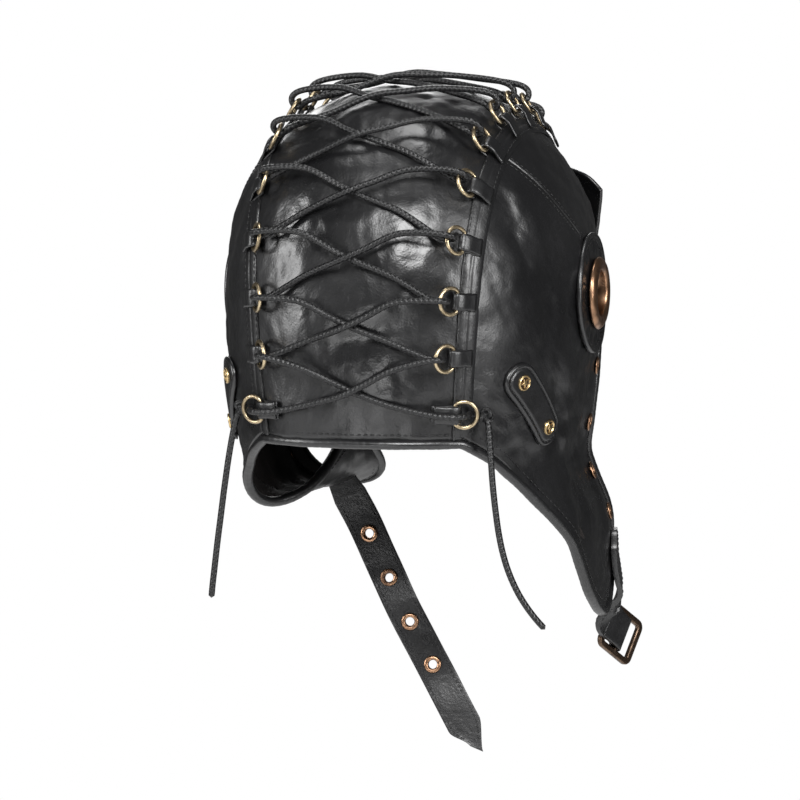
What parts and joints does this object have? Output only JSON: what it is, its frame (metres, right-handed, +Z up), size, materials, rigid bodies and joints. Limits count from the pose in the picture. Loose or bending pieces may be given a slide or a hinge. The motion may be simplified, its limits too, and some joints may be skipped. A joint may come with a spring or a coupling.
{
  "type": "steampunk aviator hat",
  "caption": "Leather aviator cap with a laced back, metal ear rings, riveted tabs, long cheek flaps, a chin strap and a buckle.",
  "frame": {"origin": "inside of the crown at its highest point, where the hat sits on a head", "axes": "+Z up, -Y is the way the wearer looks, +X is the wearer's left"},
  "size_m": [0.1878, 0.2152, 0.3385],
  "materials": {
    "leather": "soft gloss black leather",
    "lace": "waxed woven cord",
    "brass": "antique brass",
    "copper": "brushed dark copper",
    "bronze": "dark antique bronze"
  },
  "bodies": {
    "root": {"crown_panel": "leather", "side_panel_left": "leather", "front_panel_left": "leather", "side_panel_right": "leather", "front_panel_right": "leather", "brow_flap": "leather", "rim_binding": "leather", "seam_welt_left": "leather", "seam_welt_right": "leather", "d_ring_left_1": "brass", "d_ring_left_2": "brass", "d_ring_left_3": "brass", "d_ring_left_4": "brass", "d_ring_left_5": "brass", "d_ring_left_6": "brass", "d_ring_left_7": "brass", "d_ring_left_8": "brass", "d_ring_left_9": "brass", "d_ring_left_10": "brass", "d_ring_right_1": "brass", "d_ring_right_2": "brass", "d_ring_right_3": "brass", "d_ring_right_4": "brass", "d_ring_right_5": "brass", "d_ring_right_6": "brass", "d_ring_right_7": "brass", "d_ring_right_8": "brass", "d_ring_right_9": "brass", "d_ring_right_10": "brass", "lace_strand_a": "lace", "lace_strand_b": "lace", "lace_end_left": "lace", "lace_end_right": "lace", "ear_patch_left": "leather", "ear_ring_left": "copper", "rivet_tab_left": "leather", "rivet_left_1": "brass", "rivet_left_2": "brass", "eyelet_left_1": "copper", "eyelet_left_2": "copper", "eyelet_left_3": "copper", "eyelet_left_4": "copper", "ear_patch_right": "leather", "ear_ring_right": "copper", "rivet_tab_right": "leather", "rivet_right_1": "brass", "rivet_right_2": "brass", "eyelet_right_1": "copper", "eyelet_right_2": "copper", "eyelet_right_3": "copper", "eyelet_right_4": "copper", "chin_strap": "leather", "strap_eyelet_1": "copper", "strap_eyelet_2": "copper", "strap_eyelet_3": "copper", "strap_eyelet_4": "copper", "buckle_strap": "leather"},
    "buckle": {"buckle_frame": "bronze"}
  },
  "joints": [
    {"name": "buckle_swing", "type": "hinge", "parent": "root", "child": "buckle", "pos_m": [-0.085, -0.072, -0.2715], "axis": [0.2107, 0.5118, -0.8329], "range_deg": [0, 70]}
  ]
}
